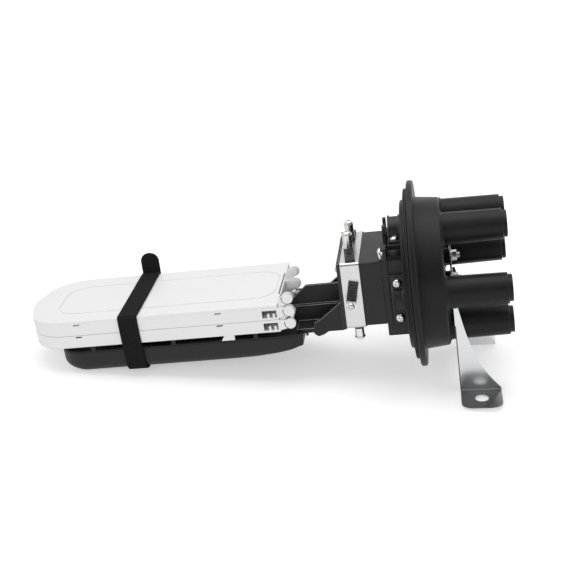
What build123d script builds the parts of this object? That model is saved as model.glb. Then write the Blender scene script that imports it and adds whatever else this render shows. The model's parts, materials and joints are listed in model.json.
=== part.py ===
from build123d import *
import math
import os

# Fibre splice closure with its dome taken off, lying as it rests on a table.
# It is drawn along its own axis first: x runs from the trays to the ports, y away from the
# viewer and z up from the axis, with x = 0 in the middle of the flange. set_down() then tips
# it by rest_tilt and lowers it, so that the basket and the bracket's feet stand on z = 0.

# Rest pose
rest_tilt = 7.85

# Base moulding
flange_radius = 100.0
flange_thickness = 6.4
step_radius = 92.0
step_length = 4.3
spigot_radius = 80.0
spigot_length = 4.6
cup_radius_front = 82.0
cup_radius_back = 79.4
cup_end = 29.7
cup_wall = 4.0
end_wall = 6.0
seal_section_radius = 1.3
seal_back = 1.9
seal_gap = 0.15

# Cable ports
port_circle_radius = 60.4
lower_port_circle_radius = 58.6
upper_port_angle = 22.0
middle_port_angle = 90.0
lower_port_angle = 141.0
port_root_radius = 17.0
port_tip_radius = 15.8
port_tube_end = 92.6
port_cap_radius = 14.0
port_end = 97.0
port_wall = 2.6
port_collar_height = 1.6

# Core: the rectangular duct that joins the base to the tray arm
core_half_width = 47.7
core_top = 35.4
core_bottom = -36.0
core_wall = 3.5
core_left = -78.4
core_split = -34.6
core_lip = 1.5
core_lip_length = 1.0

# Clamp carrier: the block of the core beside the base, with a collar at its left end
collar_length = 3.5
collar_rise = 2.4
earth_lug_width = 14.0
earth_lug_top = 49.5
top_lug_half_width = 15.0
top_lug_y = -3.0
top_lug_rise = 22.0
top_notch_radius = 9.0
foot_block_left = -34.3
foot_block_right = -11.6
foot_block_depth = 13.4
foot_block_back = -30.0
collar_left = -31.8

# Strength band of folded steel and the clamps on it
band_left = -77.2
band_width = 19.8
band_thickness = 1.5
member_plate_width = 10.4
member_plate_thickness = 3.4
front_plate_length = 27.4
top_plate_length = 39.0
far_plate_length = 27.0
bottom_plate_length = 31.0
member_notch_width = 5.2
member_notch_depth = 1.6
member_x = -69.5
pillar_radius = 4.2
pillar_length = 9.6
top_pillar_length = 14.6
washer_radius = 5.8
washer_thickness = 1.0
screw_hole_gap = 0.2
member_screw_radius = 2.5
member_head_radius = 4.4
member_head_height = 3.0
member_swing = 12.5
top_member_swing = 6.0
front_member_z = -5.8
top_near_member_y = -12.0
top_far_member_y = 22.0
bottom_member_x = -65.6
bottom_member_y = -38.0

# Cable clamps round the carrier
clamp_length = 15.0
clamp_x = -20.0
clamp_base_thickness = 3.0
clamp_height = 7.0
clamp_screw_pitch = 38.4
front_clamp_z = -6.8
clamp_bar_thickness = 2.4
clamp_saddle_radius = 12.0
clamp_head_radius = 4.7
clamp_head_height = 3.2
clamp_screw_radius = 2.4
top_clamp_rise = 25.0

# Earth screw that lies along the axis over the core
earth_head_radius = 6.3
earth_head_height = 3.4
earth_shank_radius = 1.9
earth_y = -43.5
earth_z = 42.2
earth_head_left = -37.4

# Mounting bracket of folded steel sheet
sheet = 2.0
plate_left = 35.4
bracket_half_width = 57.4
bracket_top = 33.0
tongue_half_width = 15.0
cheek_top = -19.5
cheek_top_width = 4.6
cheek_foot_width = 42.9
foot_level = -116.6
foot_set_in = 1.0
foot_slope = 2.7
foot_corner = 12.0
foot_hole_radius = 7.0
foot_hole_reach = 21.5
shoulder_level = -66.0
bracket_port_gap = 1.2
bracket_bolt_y = 0.0
bracket_bolt_z = 17.0
bracket_bolt_pitch = 26.0
bolt_radius = 3.0
bolt_boss_radius = 8.0
nut_across = 10.0
nut_height = 5.0
bolt_stub = 3.0

# Splice trays
tray_half_width = 61.4
tray_left = -427.6
tray_right = -146.2
tray_corner = 42.0
tray_end_bulge = 4.0
tray_height = 13.8
tray_pitch = 14.2
tray_wall = 1.8
tray_floor = 1.6
lower_tray_level = -28.4
hinge_x = -134.5
hinge_rise = 8.9
knuckle_radius = 5.7
hinge_pin_radius = 2.0
hinge_clearance = 0.05
far_lug = 12.2
lug_thickness = 2.2
lug_gap = 0.2
snap_slit_length = 7.0
snap_slit_height = 1.7
snap_slit_places = (-366.5, -210.5)
snap_slit_drop = 1.9
window_length = 15.6
window_left = -163.6
window_height = 8.4
spool_radius = 26.0
spool_wall = 1.8
spool_height = 9.0
holder_slots = 6
holder_length = 60.0
holder_pitch = 5.6
holder_wall = 1.2
holder_height = 7.0

# Lid on the upper tray
lid_thickness = 2.4
lid_panel_half_width = 38.5
lid_panel_left = -397.0
lid_panel_right = -151.0
lid_panel_corner = 24.0
lid_panel_depth = 0.7
lid_groove = 1.6

# Storage basket under the trays
basket_tuck = 0.9
basket_left = -391.0
basket_right = -124.5
basket_rim = -32.0
basket_bottom = -61.4
basket_bottom_right = -55.5
basket_end_bottom = -46.5
basket_end_radius = 21.0
basket_edge_radius = 15.0
basket_floor_bend = -200.0
basket_rise_start = -152.0
basket_rise_mid = -138.0
basket_mid_lift = 3.4
basket_wall = 2.2
basket_corner = 38.0
basket_post_places = (-348.0, -266.0, -178.0)
basket_post_length = 4.0

# Arm between the core and the trays
arm_plate_thickness = 2.6
arm_left = -131.0
arm_floor_top = -33.7
arm_floor_bottom = -38.7
arm_beam_half_width = 25.0
arm_beam_left = -139.0
arm_wall = 2.8
arm_shelf = -16.3
arm_web_near = -20.5
arm_web_top = 5.0
arm_web_corner = -119.4
arm_edge_width = 47.7
gusset_thickness = 3.0
gusset_top = -6.4
gusset_nose = -113.4
gusset_keel = -43.7
toe_left = -122.0
toe_right = -119.6
arm_screw_y = 41.0
arm_screw_inset = 6.0
arm_screw_head_radius = 3.6
arm_screw_head_height = 2.4
ledge_half_width = 24.0
ledge_length = 5.5

# Strap of hook-and-loop tape
strap_x = -309.0
strap_width = 21.6
strap_thickness = 2.2
strap_gap = 0.35
strap_tail_height = 23.0

# Worked out from the sizes above
near_lug = -tray_half_width
basket_half_width = tray_half_width - basket_tuck
foot_length = flange_radius - foot_set_in - bracket_half_width + sheet
step_left = -flange_thickness / 2 - step_length
spigot_left = step_left - spigot_length
core_end = cup_end - end_wall
upper_tray_level = lower_tray_level + tray_pitch
lid_level = upper_tray_level + tray_height
lid_top = lid_level + lid_thickness
lower_hinge_z = lower_tray_level + hinge_rise
upper_hinge_z = upper_tray_level + hinge_rise
near_eye = near_lug + lug_thickness + lug_gap
far_eye = far_lug + lug_thickness + lug_gap
foot_left = plate_left

os.makedirs("parts", exist_ok=True)


def side_face(points):
    """A flat face in the x-z plane through the points, each given as (x, z)."""
    return Plane.XZ * make_face(Polyline(*points, close=True))


def along_y(face, low, high):
    """The face swept across the object, from y = low to y = high."""
    return Pos(0, high, 0) * extrude(face, amount=high - low, dir=(0, -1, 0))


def block(x, y, z):
    """A plain block between the two ends given for each direction."""
    centre = Pos((x[0] + x[1]) / 2, (y[0] + y[1]) / 2, (z[0] + z[1]) / 2)
    return centre * Box(x[1] - x[0], y[1] - y[0], z[1] - z[0])


def rod_x(radius, left, right, y=0.0, z=0.0):
    """A round bar along the closure's axis."""
    return Pos((left + right) / 2, y, z) * Rot(0, 90, 0) * Cylinder(radius, right - left)


def rod_y(radius, near, far, x, z):
    """A round bar across the closure."""
    return Pos(x, (near + far) / 2, z) * Rot(90, 0, 0) * Cylinder(radius, far - near)


def turned(points):
    """A solid of revolution about the closure's axis, from (x, radius) points."""
    return revolve(Plane.XZ * make_face(Polyline(*points, close=True)), Axis.X)


def ring_x(radius, section_radius, x):
    """A ring of round section about the closure's axis."""
    return Pos(x, 0, 0) * Rot(0, 90, 0) * Torus(radius, section_radius)


def across(face, x):
    """A face drawn as (y, z), set across the axis at x."""
    return Pos(x, 0, 0) * (Plane.YZ * face)


def port_places():
    """Centres of the cable ports on the base, as (y, z)."""
    groups = (
        (upper_port_angle, port_circle_radius),
        (middle_port_angle, port_circle_radius),
        (lower_port_angle, lower_port_circle_radius),
    )
    places = []
    for angle, radius in groups:
        for hand in (-1, 1):
            turn = math.radians(angle)
            places.append((hand * radius * math.sin(turn), radius * math.cos(turn)))
    return places


def base_body():
    """Base moulding: stepped flange, cup and six blind cable ports."""
    half_flange = flange_thickness / 2
    outside = turned(
        [
            (spigot_left, 0),
            (spigot_left, spigot_radius - 1.2),
            (spigot_left + 1.2, spigot_radius),
            (step_left, spigot_radius),
            (step_left, step_radius - 1.0),
            (step_left + 1.0, step_radius),
            (-half_flange, step_radius),
            (-half_flange, flange_radius - 1.2),
            (-half_flange + 1.2, flange_radius),
            (half_flange - 1.2, flange_radius),
            (half_flange, flange_radius - 1.2),
            (half_flange, cup_radius_front),
            (cup_end - 1.5, cup_radius_back),
            (cup_end, cup_radius_back - 1.5),
            (cup_end, 0),
        ]
    )
    hollow = turned(
        [
            (spigot_left - 1, 0),
            (spigot_left - 1, spigot_radius - cup_wall),
            (core_end, cup_radius_back - cup_wall - 1.0),
            (core_end, 0),
        ]
    )
    seal_x = -half_flange - seal_back
    groove_half = seal_section_radius + seal_gap
    groove_floor = step_radius - 2 * seal_section_radius - 2 * seal_gap
    groove = turned(
        [
            (seal_x - groove_half, groove_floor),
            (seal_x - groove_half, step_radius + 1),
            (seal_x + groove_half, step_radius + 1),
            (seal_x + groove_half, groove_floor),
        ]
    )
    body = outside - hollow - groove
    for y, z in port_places():
        body += port_tube(y, z)
    for y, z in port_places():
        body -= port_bore(y, z)
    for z in (bracket_bolt_z, bracket_bolt_z - bracket_bolt_pitch):
        body += rod_x(bolt_boss_radius, cup_end - 0.5, plate_left, bracket_bolt_y, z)
        body -= rod_x(bolt_radius + screw_hole_gap, core_end - 1, plate_left + 1, bracket_bolt_y, z)
    return body


def port_tube(y, z):
    """Outside of one port, with its draft, its collar at the root and the smaller cap."""
    length = port_tube_end - cup_end
    tube = Pos(cup_end - 0.5, y, z) * turned(
        [
            (0, 0),
            (0, port_root_radius + port_collar_height),
            (1.0, port_root_radius + port_collar_height),
            (1.0 + port_collar_height, port_root_radius),
            (length, port_tip_radius + 0.3),
            (length + 0.5, port_tip_radius - 0.3),
            (length + 0.5, port_cap_radius),
            (port_end - cup_end, port_cap_radius),
            (port_end - cup_end + 0.5, port_cap_radius - 0.6),
            (port_end - cup_end + 0.5, 0),
        ]
    )
    return tube


def port_bore(y, z):
    """Inside of one port, open to the cup and blind at the cap."""
    return Pos(core_end - 1, y, z) * turned(
        [
            (0, 0),
            (0, port_root_radius - port_wall),
            (port_tube_end - core_end, port_cap_radius - port_wall),
            (port_end - port_wall - core_end + 1, port_cap_radius - port_wall - 0.4),
            (port_end - port_wall - core_end + 1, 0),
        ]
    )


def base_seal():
    """Rubber ring in the groove of the flange's step."""
    seal_x = -flange_thickness / 2 - seal_back
    return ring_x(step_radius - seal_section_radius - seal_gap, seal_section_radius, seal_x)


def core_tube(left, right, grow=0.0):
    """A length of the rectangular duct."""
    outer = block(
        (left, right),
        (-core_half_width - grow, core_half_width + grow),
        (core_bottom - grow, core_top + grow),
    )
    outer = fillet(outer.edges().filter_by(Axis.X), 2.0)
    inner = block(
        (left - 1, right + 1),
        (-core_half_width + core_wall, core_half_width - core_wall),
        (core_bottom + core_wall, core_top - core_wall),
    )
    return outer - inner


def core_box():
    """Duct moulding that carries the strength band, with a lip that stops the band."""
    duct = core_tube(core_left, core_split)
    lip = core_tube(core_left, core_left + core_lip_length, core_lip)
    rib = core_tube(band_left + band_width + 0.2, band_left + band_width + 1.4, 0.7)
    return duct + lip + rib


def clamp_carrier():
    """Block of the core beside the base, with the collar that the cable clamps stand behind."""
    duct = core_tube(core_split + 0.3, core_end - 0.1)
    collar_right = collar_left + collar_length
    collar = core_tube(collar_left, collar_right, collar_rise)
    earth_lug = block(
        (collar_left, collar_right),
        (-core_half_width - collar_rise, -core_half_width - collar_rise + earth_lug_width),
        (core_top - 1, earth_lug_top),
    )
    top_lug = block(
        (collar_left, collar_right),
        (top_lug_y - top_lug_half_width, top_lug_y + top_lug_half_width),
        (core_top - 1, core_top + top_lug_rise),
    )
    top_lug = fillet(top_lug.edges().filter_by(Axis.X).sort_by(Axis.Z)[-2:], 4.0)
    notch = rod_x(top_notch_radius, collar_left - 1, collar_right + 1, top_lug_y, core_top + top_lug_rise)
    foot_block = block(
        (foot_block_left, foot_block_right),
        (-core_half_width + 0.5, foot_block_back),
        (core_bottom - foot_block_depth, core_bottom + 1),
    )
    foot_block = fillet(foot_block.edges().filter_by(Axis.Z), 1.5)
    earth_hole = rod_x(
        earth_shank_radius + screw_hole_gap,
        collar_left - 1,
        collar_right + 1,
        earth_y,
        earth_z,
    )
    return duct + collar + earth_lug + top_lug + foot_block - notch - earth_hole


def strength_band():
    """Steel band folded round the duct, with its screw holes."""
    right = band_left + band_width
    outer = block(
        (band_left, right),
        (-core_half_width - band_thickness, core_half_width + band_thickness),
        (core_bottom - band_thickness, core_top + band_thickness),
    )
    outer = fillet(outer.edges().filter_by(Axis.X), 2.0 + band_thickness)
    inner = block(
        (band_left - 1, right + 1),
        (-core_half_width, core_half_width),
        (core_bottom, core_top),
    )
    inner = fillet(inner.edges().filter_by(Axis.X), 2.0)
    return outer - inner


def member_seats():
    """Each strength-member clamp: its name, its place on the band, plate length and pillar length."""
    front = Pos(member_x, -core_half_width - band_thickness, front_member_z) * Rot(90, 0, 0)
    back = Pos(member_x, core_half_width + band_thickness, front_member_z) * Rot(-90, 0, 0)
    above = core_top + band_thickness
    below = core_bottom - band_thickness
    near = Pos(member_x, top_near_member_y, above) * Rot(0, 0, 180 + top_member_swing)
    far = Pos(member_x, top_far_member_y, above)
    bottom = Pos(bottom_member_x, bottom_member_y, below) * Rot(180, 0, 180)
    return {
        "front": (front * Rot(0, 0, -member_swing), front_plate_length, pillar_length),
        "back": (back * Rot(0, 0, 180 + member_swing), front_plate_length, pillar_length),
        "top_near": (near, top_plate_length, top_pillar_length),
        "top_far": (far, far_plate_length, top_pillar_length),
        "bottom": (bottom, bottom_plate_length, pillar_length),
    }


def member_plate(length):
    """Grooved clamp plate, lying on its face with the screw hole at the origin."""
    end = member_plate_width / 2
    reach = length - end
    outline = Pos(0, reach / 2, 0) * Rectangle(member_plate_width, reach) + Circle(end)
    plate = extrude(outline, amount=member_plate_thickness)
    notch = block(
        (-member_notch_width / 2, member_notch_width / 2),
        (reach * 0.45, reach * 0.45 + 4.6),
        (member_plate_thickness - member_notch_depth, member_plate_thickness + 1),
    )
    ridges = []
    for place in (0.32, 0.72, 0.86):
        ridges.append(
            block(
                (-end - 1, end + 1),
                (reach * place, reach * place + 1.3),
                (member_plate_thickness - 0.8, member_plate_thickness + 1),
            )
        )
    hole = Cylinder(member_screw_radius + screw_hole_gap, 4 * member_plate_thickness)
    plate = plate - notch - hole
    for ridge in ridges:
        plate -= ridge
    return plate


def member_pillar(height):
    """Turned pillar between the clamp plate and the screw's head."""
    body = Pos(0, 0, member_plate_thickness + height / 2) * Cylinder(pillar_radius, height)
    hole = Cylinder(member_screw_radius + screw_hole_gap, 60)
    return body - hole


def member_washer(height):
    """Washer on top of the pillar."""
    level = member_plate_thickness + height + washer_thickness / 2
    return Pos(0, 0, level) * (
        Cylinder(washer_radius, washer_thickness) - Cylinder(member_screw_radius + screw_hole_gap, 4)
    )


def member_screw(height):
    """Pan-head screw with a cross recess, down through pillar and plate to the band."""
    top = member_plate_thickness + height + washer_thickness
    shank = Pos(0, 0, top / 2) * Cylinder(member_screw_radius, top)
    return shank + Pos(0, 0, top) * pan_head(member_head_radius, member_head_height)


def pan_head(radius, height):
    """Pan head standing on z = 0, with a cross recess."""
    profile = make_face(
        Line((0, 0), (radius, 0))
        + Line((radius, 0), (radius, height * 0.45))
        + ThreePointArc((radius, height * 0.45), (radius * 0.72, height * 0.88), (0, height))
        + Line((0, height), (0, 0))
    )
    head = revolve(Plane.XZ * profile, Axis.Z)
    arm = radius * 1.15
    recess = Box(arm, radius * 0.24, height * 0.9) + Box(radius * 0.24, arm, height * 0.9)
    return head - Pos(0, 0, height) * recess


def cable_clamp(rise):
    """Cable clamp lying on its face: two feet, side walls and an arched bar over the cable."""
    half_pitch = clamp_screw_pitch / 2
    half_span = half_pitch + 7.5
    half_length = clamp_length / 2
    base = block((-half_length, half_length), (-half_span, half_span), (0, clamp_base_thickness))
    towers = []
    for hand in (-1, 1):
        centre = hand * half_pitch
        towers.append(
            block(
                (-half_length + 1.5, half_length - 1.5),
                (centre - 6.0, centre + 6.0),
                (clamp_base_thickness - 0.5, clamp_height),
            )
        )
    arch_outer = clamp_saddle_radius + clamp_bar_thickness
    arch_centre = rise - arch_outer
    arch = clamp_arch(arch_outer, clamp_length - 4, arch_centre)
    ridges = []
    for place in (-half_length + 2.0, half_length - 2.0):
        ridges.append(Pos(place, 0, 0) * clamp_arch(arch_outer + 1.4, 1.6, arch_centre))
    clamp = base
    for tower in towers:
        clamp += tower
    clamp += arch
    for ridge in ridges:
        clamp += ridge
    for hand in (-1, 1):
        clamp -= Pos(0, hand * half_pitch, 0) * Cylinder(clamp_screw_radius + screw_hole_gap, 60)
    return clamp


def clamp_arch(outer, length, centre):
    """Arched bar over the cable, on straight legs where its centre stands above the foot."""
    low = clamp_base_thickness - 0.5
    ring = Rot(0, 90, 0) * Cylinder(outer, length)
    ring = Pos(0, 0, centre) * (ring - Rot(0, 90, 0) * Cylinder(clamp_saddle_radius, length + 2))
    legs = block((-length / 2, length / 2), (-outer, outer), (low, max(centre, low + 0.1)))
    legs -= block(
        (-length / 2 - 1, length / 2 + 1),
        (-clamp_saddle_radius, clamp_saddle_radius),
        (low - 1, max(centre, low + 0.1) + 1),
    )
    upper = block((-20, 20), (-30, 30), (max(centre, low), 60))
    return (ring & upper) + legs


def clamp_screw():
    """Pan-head screw of a cable clamp, standing in its foot."""
    shank = Pos(0, 0, clamp_height / 2) * Cylinder(clamp_screw_radius, clamp_height)
    return shank + Pos(0, 0, clamp_height) * pan_head(clamp_head_radius, clamp_head_height)


def clamp_seats():
    """Where the four cable clamps sit on the carrier."""
    return {
        "front": Pos(clamp_x + 0.5, -core_half_width, front_clamp_z) * Rot(90, 0, 0),
        "back": Pos(clamp_x + 0.5, core_half_width, front_clamp_z) * Rot(-90, 0, 0),
        "top": Pos(clamp_x + 0.5, top_lug_y, core_top),
        "bottom": Pos(clamp_x + 0.5, 4.0, core_bottom) * Rot(180, 0, 0),
    }


def earth_screw():
    """Long pan-head screw through the carrier's collar, lying along the axis."""
    head = Pos(earth_head_left + earth_head_height, earth_y, earth_z) * Rot(0, -90, 0)
    shank = rod_x(
        earth_shank_radius,
        earth_head_left + earth_head_height,
        collar_left + collar_length + 6.0,
        earth_y,
        earth_z,
    )
    return head * pan_head(earth_head_radius, earth_head_height) + shank


def mounting_bracket():
    """One folded sheet: plate across the axis, two cheeks folded back and two feet folded out."""
    plate = extrude(across(bracket_outline(), plate_left), amount=sheet, dir=(1, 0, 0))
    for z in (bracket_bolt_z, bracket_bolt_z - bracket_bolt_pitch):
        plate -= rod_x(bolt_radius + screw_hole_gap, plate_left - 1, plate_left + 9, bracket_bolt_y, z)
    for y, z in port_places():
        plate -= rod_x(port_root_radius + bracket_port_gap, plate_left - 1, plate_left + 9, y, z)
    bracket = plate
    drop = cheek_foot_width * math.tan(math.radians(foot_slope))
    cheek_right = foot_left + cheek_foot_width
    cheek = side_face_curve(drop, cheek_right)
    for hand in (-1, 1):
        outer = hand * bracket_half_width
        inner = hand * (bracket_half_width - sheet)
        bracket += along_y(cheek, min(outer, inner), max(outer, inner))
    for hand in (-1, 1):
        bracket += bracket_foot(hand)
    return bracket


def side_face_curve(drop, right):
    """Outline of a cheek, seen from the side: narrow at the top, swept out to the foot."""
    top_right = foot_left + cheek_top_width
    toe_level = foot_level - drop + 4.0
    outline = (
        Line((foot_left, foot_level), (foot_left, cheek_top))
        + Line((foot_left, cheek_top), (top_right, cheek_top))
        + Spline(
            (top_right, cheek_top),
            (foot_left + 11.6, -53.0),
            (foot_left + 21.3, -82.0),
            (foot_left + 30.5, -98.5),
            (right, toe_level),
        )
        + Line((right, toe_level), (right, foot_level - drop))
        + Line((right, foot_level - drop), (foot_left, foot_level))
    )
    return Plane.XZ * make_face(outline)


def bracket_outline():
    """The plate across the axis: a tongue between the lower ports that widens into two legs."""
    half = bracket_half_width
    points = [
        (-tongue_half_width, bracket_top),
        (tongue_half_width, bracket_top),
        (tongue_half_width, shoulder_level + 14),
        (half - 14, shoulder_level),
        (half, shoulder_level),
        (half, foot_level),
        (half - 12, foot_level),
        (half - 30, foot_level + 30),
        (-half + 30, foot_level + 30),
        (-half + 12, foot_level),
        (-half, foot_level),
        (-half, shoulder_level),
        (-half + 14, shoulder_level),
        (-tongue_half_width, shoulder_level + 14),
    ]
    return make_face(Polyline(*points, close=True))


def bracket_foot(hand):
    """A foot folded outwards from its cheek, with round corners and its hole."""
    outline = Pos(cheek_foot_width / 2, foot_length / 2, 0) * Rectangle(cheek_foot_width, foot_length)
    foot = extrude(outline, amount=sheet)
    ends = foot.edges().filter_by(Axis.Z).sort_by(Axis.Y)[-2:]
    foot = fillet(ends, foot_corner)
    foot -= Pos(cheek_foot_width / 2, foot_hole_reach, 0) * Cylinder(foot_hole_radius, 4 * sheet)
    if hand < 0:
        foot = mirror(foot, Plane.XZ)
    edge = hand * (bracket_half_width - sheet)
    length = cheek_foot_width / math.cos(math.radians(foot_slope))
    turn = Rot(0, foot_slope, 0)
    return Pos(foot_left, edge, foot_level) * turn * foot


def bracket_bolts():
    """Bolts through the base's bosses, with their heads inside the cup."""
    bolts = []
    for z in (bracket_bolt_z, bracket_bolt_z - bracket_bolt_pitch):
        end = plate_left + sheet + washer_thickness + nut_height + bolt_stub
        shank = rod_x(bolt_radius, core_end, end, bracket_bolt_y, z)
        head_left = core_end - 4.0
        hexagon = across(RegularPolygon(nut_across / 2 / math.cos(math.pi / 6), 6), 0)
        head = Pos(head_left, bracket_bolt_y, z) * extrude(hexagon, amount=4.0, dir=(1, 0, 0))
        bolts.append(shank + head)
    return bolts


def bracket_washers():
    """Washers under the bracket's nuts."""
    left = plate_left + sheet
    washers = []
    for z in (bracket_bolt_z, bracket_bolt_z - bracket_bolt_pitch):
        ring = rod_x(bolt_radius * 2.1, left, left + washer_thickness, bracket_bolt_y, z)
        washers.append(ring - rod_x(bolt_radius + screw_hole_gap, left - 1, left + 5, bracket_bolt_y, z))
    return washers


def bracket_nuts():
    """Hexagon nuts that hold the bracket to the base."""
    left = plate_left + sheet + washer_thickness
    nuts = []
    for z in (bracket_bolt_z, bracket_bolt_z - bracket_bolt_pitch):
        hexagon = across(RegularPolygon(nut_across / 2 / math.cos(math.pi / 6), 6), 0)
        nut = Pos(left, bracket_bolt_y, z) * extrude(hexagon, amount=nut_height, dir=(1, 0, 0))
        nuts.append(nut - rod_x(bolt_radius + 0.05, left - 1, left + nut_height + 1, bracket_bolt_y, z))
    return nuts


def rounded_end_plan(half_width, left, right, corner, bulge):
    """Plan of a tray: straight at the hinge end and round at the far end."""
    start = left + corner + bulge
    outline = (
        Line((right, -half_width), (start, -half_width))
        + JernArc((start, -half_width), (-1, 0), corner, -(90 - 8))
    )
    arc_end = outline @ 1
    plan = outline + ThreePointArc(arc_end, (left, 0), (arc_end.X, -arc_end.Y))
    mirrored_end = (start, half_width)
    plan += JernArc(mirrored_end, (-1, 0), corner, 90 - 8)
    plan += Line(mirrored_end, (right, half_width))
    plan += Line((right, half_width), (right, -half_width))
    return make_face(plan)


def tray_shell(level, top):
    """Open splice tray: floor, wall, slits, windows, spool walls and hinge lugs."""
    outer_plan = rounded_end_plan(tray_half_width, tray_left, tray_right, tray_corner, tray_end_bulge)
    inner_plan = offset(outer_plan, -tray_wall)
    shell = extrude(outer_plan, amount=tray_height)
    shell -= Pos(0, 0, tray_floor) * extrude(inner_plan, amount=tray_height)
    slit_level = tray_height - snap_slit_drop
    for x in snap_slit_places:
        for hand in (-1, 1):
            shell -= Pos(x, hand * tray_half_width, slit_level) * Box(
                snap_slit_length, 4 * tray_wall, snap_slit_height
            )
    for hand in (-1, 1):
        shell -= tray_window(hand)
    for x in (tray_left + 62.0, tray_right - 62.0):
        ring = Cylinder(spool_radius, spool_height) - Cylinder(spool_radius - spool_wall, spool_height + 2)
        ring -= Box(3 * spool_radius, 10.0, spool_height + 2)
        shell += Pos(x, 0, tray_floor - 0.2 + spool_height / 2) * ring
    for near in (near_lug, far_lug):
        shell += tray_lug(hinge_rise, near)
    for near in (near_eye, far_eye):
        shell += tray_lug(hinge_rise + tray_pitch, near, top)
    return Pos(0, 0, level) * shell


def tray_window(hand):
    """Comb-like window in the side wall at the hinge end, where cables are tied in."""
    low = tray_height - 3.2 - window_height
    cut = block(
        (window_left, window_left + window_length),
        (tray_half_width - 2 * tray_wall, tray_half_width + 1),
        (low, low + window_height),
    )
    for place in (5.4, 11.2):
        cut -= block(
            (window_left + place, window_left + place + 2.4),
            (tray_half_width - 3 * tray_wall, tray_half_width + 2),
            (low - 1, low + window_height * 0.55),
        )
    if hand < 0:
        cut = mirror(cut, Plane.XZ)
    return cut


def tray_lug(rise, near, blind=False):
    """Hinge lug with its knuckle; rise is the height of its pin over the tray's floor."""
    root = tray_right - tray_wall
    front = tray_right + 0.6
    high = tray_height - 0.8
    if rise > tray_height:
        low = hinge_rise + 0.9
        chin = (hinge_x + 1.0, rise - knuckle_radius)
    else:
        low = tray_floor
        chin = (hinge_x - 2.0, rise - knuckle_radius + 0.5)
    web = make_face(
        Polyline(
            (root, low),
            (root, high),
            (front, high),
            (front, max(high + 0.1, rise - 2.2)),
            (hinge_x - knuckle_radius * 0.7, rise + knuckle_radius * 0.7),
            (hinge_x, rise),
            chin,
            (front, low),
            close=True,
        )
    )
    knuckle = Pos(hinge_x, rise) * Circle(knuckle_radius)
    lug = web + knuckle
    if not blind:
        lug -= Pos(hinge_x, rise) * Circle(hinge_pin_radius + hinge_clearance)
    return along_y(Plane.XZ * lug, near, near + lug_thickness)


def splice_holder(level):
    """Comb that holds the splice sleeves, clipped to the tray's floor."""
    width = holder_slots * holder_pitch + holder_wall
    centre = (tray_left + tray_right) / 2
    comb = Pos(0, 0, 0.6) * Box(holder_length, width, 1.2)
    for index in range(holder_slots + 1):
        y = -width / 2 + holder_wall / 2 + index * holder_pitch
        for x in (-holder_length / 2 + 9, holder_length / 2 - 9):
            comb += Pos(x, y, holder_height / 2) * Box(16, holder_wall, holder_height)
    return Pos(centre, 0, level + tray_floor) * comb


def tray_lid():
    """Snap-on lid of the upper tray, with its panel edged by a groove and its snap tabs."""
    plan = rounded_end_plan(tray_half_width, tray_left, tray_right, tray_corner, tray_end_bulge)
    lid = extrude(plan, amount=lid_thickness)
    panel_centre = (lid_panel_left + lid_panel_right) / 2
    panel = RectangleRounded(
        lid_panel_right - lid_panel_left, 2 * lid_panel_half_width, lid_panel_corner
    )
    panel = Pos(panel_centre, 0) * panel
    groove = panel - offset(panel, -lid_groove)
    lid -= Pos(0, 0, lid_thickness - lid_panel_depth) * extrude(groove, amount=lid_thickness)
    lid -= Pos(tray_right, 0, 0) * Box(5.0, 60.0, 4 * lid_thickness)
    for x in snap_slit_places:
        for hand in (-1, 1):
            y = hand * (tray_half_width - tray_wall - 0.8)
            tab = Pos(x, y, -snap_slit_drop / 2) * Box(snap_slit_length - 1.0, 1.0, snap_slit_drop + 1.0)
            lid += tab
    return Pos(0, 0, lid_level) * lid


def upper_hinge_pins():
    """Short pins that join the upper tray's lugs to the lower tray's."""
    pins = []
    for near in (near_lug, far_lug):
        pins.append(
            rod_y(hinge_pin_radius, near, near + 2 * lug_thickness + lug_gap, hinge_x, upper_hinge_z)
        )
    return pins


def lower_hinge_pin():
    """Long pin through the lower tray's lugs and the arm's web."""
    return rod_y(hinge_pin_radius, near_lug, far_lug + lug_thickness, hinge_x, lower_hinge_z)


def basket_side(grow):
    """Side view of the basket's hull, made smaller by grow for its inside."""
    left = basket_left + grow
    right = basket_right - grow
    bottom = basket_bottom + grow
    radius = basket_end_radius - grow
    rim = basket_rim + (5 if grow > 0 else 0)
    outline = (
        Line((right, rim), (left, rim))
        + Line((left, rim), (left, bottom + radius))
        + JernArc((left, bottom + radius), (0, -1), radius, 90)
        + Line((left + radius, bottom), (basket_floor_bend, bottom))
        + Line((basket_floor_bend, bottom), (basket_rise_start, basket_bottom_right + grow))
        + ThreePointArc(
            (basket_rise_start, basket_bottom_right + grow),
            (basket_rise_mid, basket_bottom_right + basket_mid_lift + grow),
            (right, basket_end_bottom + grow),
        )
        + Line((right, basket_end_bottom + grow), (right, rim))
    )
    return Plane.XZ * make_face(outline)


def basket_section(grow):
    """End view of the basket's hull, as a prism along the basket."""
    half = basket_half_width - grow
    low = basket_bottom + grow
    radius = basket_edge_radius - grow
    rim = basket_rim + (5 if grow > 0 else 0)
    outline = (
        Line((half, rim), (half, low + radius))
        + JernArc((half, low + radius), (0, -1), radius, -90)
        + Line((half - radius, low), (radius - half, low))
        + JernArc((radius - half, low), (-1, 0), radius, -90)
        + Line((-half, low + radius), (-half, rim))
        + Line((-half, rim), (half, rim))
    )
    return extrude(across(make_face(outline), basket_left - 1), amount=300, dir=(1, 0, 0))


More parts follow.
